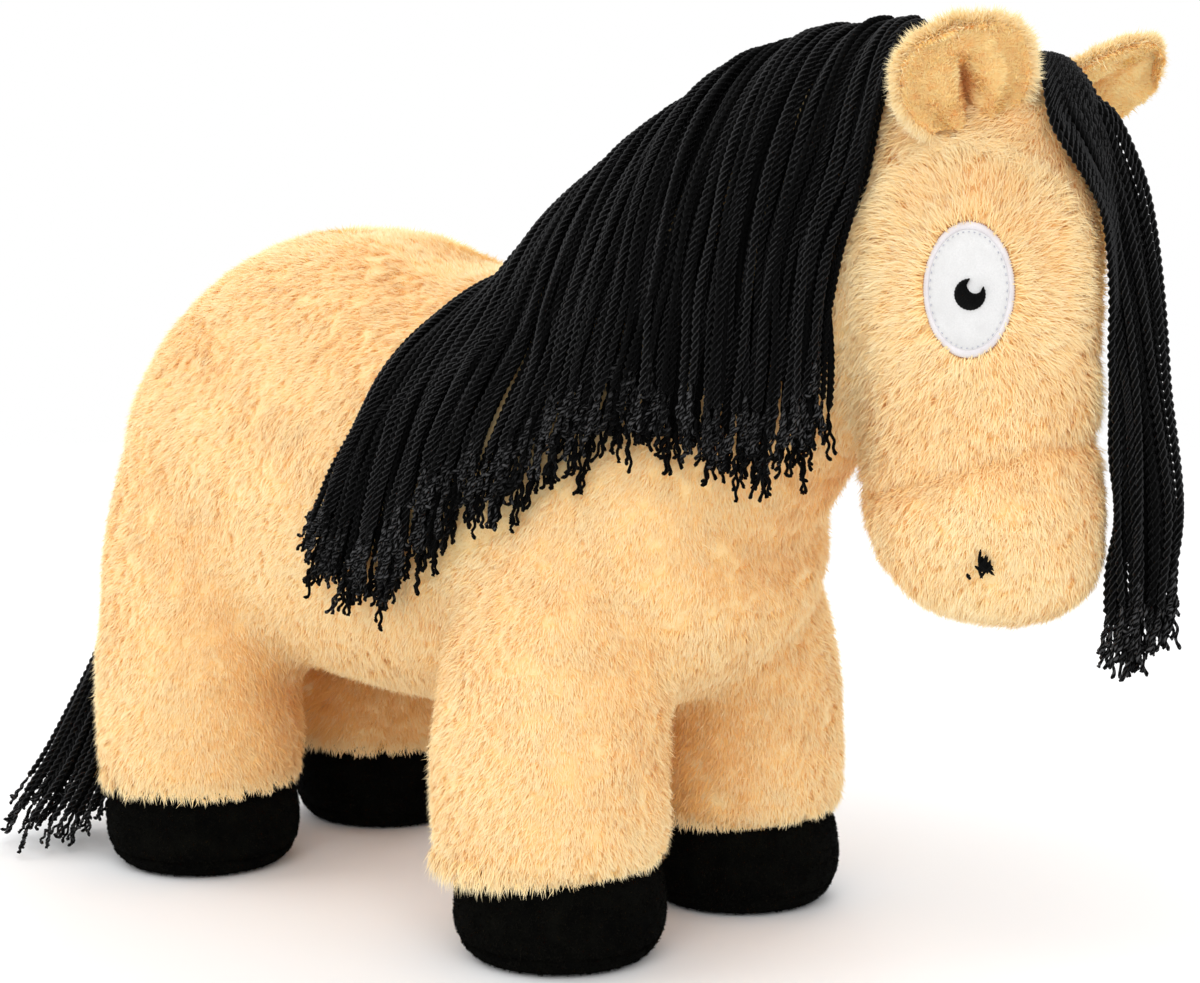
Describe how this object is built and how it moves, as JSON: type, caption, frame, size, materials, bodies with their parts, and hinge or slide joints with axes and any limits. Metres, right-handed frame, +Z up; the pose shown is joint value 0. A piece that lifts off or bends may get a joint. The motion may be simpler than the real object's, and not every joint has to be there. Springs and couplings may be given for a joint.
{
  "type": "plush horse",
  "caption": "Standing stuffed plush horse with a long-pile coat, velour hooves, felt eyes, folding ears and a yarn mane, forelock and tail that lift.",
  "frame": {"origin": "on the floor under the middle of the whole toy's box, hair included", "axes": "+X towards the nose, +Y towards the horse's left side, +Z up"},
  "size_m": [0.4539, 0.1668, 0.3065],
  "materials": {
    "plush": "short-pile plush, matt",
    "velour": "short velour, matt",
    "yarn": "twisted yarn, matt",
    "felt": "felt, matt",
    "thread": "satin embroidery thread",
    "lining": "brushed short-nap cloth, matt",
    "tape": "woven cotton tape, matt",
    "stuffing": "loose polyester fibre fill"
  },
  "bodies": {
    "horse_body": {"torso_cover": "plush", "torso_filling": "stuffing", "neck_cover": "plush", "neck_filling": "stuffing", "head_cover": "plush", "muzzle_cover": "plush", "head_filling": "stuffing", "front_right_leg_cover": "plush", "front_right_leg_filling": "stuffing", "front_right_hoof_cover": "velour", "front_right_hoof_sole": "velour", "front_left_leg_cover": "plush", "front_left_leg_filling": "stuffing", "front_left_hoof_cover": "velour", "front_left_hoof_sole": "velour", "rear_right_leg_cover": "plush", "rear_right_leg_filling": "stuffing", "rear_right_hoof_cover": "velour", "rear_right_hoof_sole": "velour", "rear_left_leg_cover": "plush", "rear_left_leg_filling": "stuffing", "rear_left_hoof_cover": "velour", "rear_left_hoof_sole": "velour", "right_eye_patch": "felt", "right_eye_pupil": "thread", "right_nostril": "thread", "left_eye_patch": "felt", "left_eye_pupil": "thread", "left_nostril": "thread", "mane_tape": "tape", "forelock_tape": "tape", "tail_tape": "tape"},
    "mane_yarn": {"mane": "yarn"},
    "forelock_yarn": {"forelock": "yarn"},
    "tail_yarn": {"tail": "yarn"},
    "right_ear": {"right_ear_back": "plush", "right_ear_lining": "lining"},
    "left_ear": {"left_ear_back": "plush", "left_ear_lining": "lining"}
  },
  "joints": [
    {"name": "mane_lift", "type": "hinge", "parent": "horse_body", "child": "mane_yarn", "pos_m": [0.077, 0.006, 0.27993], "axis": [-0.9148, 0, -0.4039], "range_deg": [0, 55]},
    {"name": "forelock_swing", "type": "hinge", "parent": "horse_body", "child": "forelock_yarn", "pos_m": [0.192, 0.001, 0.292], "axis": [0, -1, 0], "range_deg": [0, 60]},
    {"name": "tail_lift", "type": "hinge", "parent": "horse_body", "child": "tail_yarn", "pos_m": [-0.17913, 0, 0.173], "axis": [0, 1, 0], "range_deg": [0, 70]},
    {"name": "right_ear_fold", "type": "hinge", "parent": "horse_body", "child": "right_ear", "pos_m": [0.18313, -0.01793, 0.28151], "axis": [-0.7484, -0.6136, -0.2516], "range_deg": [0, 30], "stiffness_Nm_per_rad": 0.03},
    {"name": "left_ear_fold", "type": "hinge", "parent": "horse_body", "child": "left_ear", "pos_m": [0.17611, 0.02452, 0.27673], "axis": [0.4587, -0.7048, 0.5412], "range_deg": [0, 30], "stiffness_Nm_per_rad": 0.03}
  ]
}
